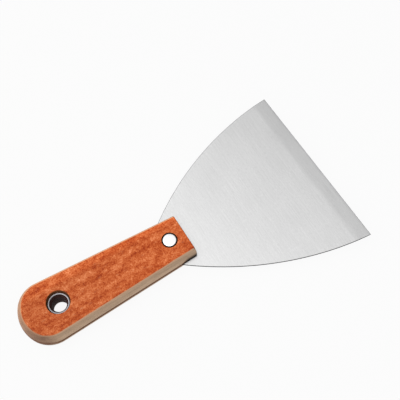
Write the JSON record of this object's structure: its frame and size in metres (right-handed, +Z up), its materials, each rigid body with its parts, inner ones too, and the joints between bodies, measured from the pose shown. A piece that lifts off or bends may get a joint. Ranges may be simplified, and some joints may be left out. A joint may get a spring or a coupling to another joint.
{
  "type": "drywall taping knife",
  "caption": "Drywall taping knife with a fan-shaped steel blade, full tang between two veneered scales, a cutlery rivet and a recessed hang eyelet in the rounded butt.",
  "frame": {"origin": "middle of the knife's outline seen from above, on the surface it lies on", "axes": "+X along the knife towards the cutting edge, +Y across the blade parallel to the edge, +Z up out of the handle's upper face"},
  "size_m": [0.1774, 0.1, 0.0126],
  "materials": {
    "blade_steel": "satin, brushed parallel to the cutting edge, with a ground bevel",
    "face_veneer": "orange-brown dyed veneer with a fine mottled grain, satin",
    "scale_core": "smooth sanded greige wood-fibre core, matt",
    "rivet_steel": "bright plated, flat head with a rounded edge",
    "eyelet_steel": "grey steel, rolled rim bright, barrel dull and dark"
  },
  "bodies": {
    "root": {"blade": "blade_steel", "upper_scale_core": "scale_core", "upper_scale_veneer": "face_veneer", "lower_scale_core": "scale_core", "lower_scale_veneer": "face_veneer", "rivet_post": "rivet_steel", "rivet_sleeve": "rivet_steel", "hang_eyelet": "eyelet_steel", "eyelet_washer": "eyelet_steel"}
  },
  "joints": []
}
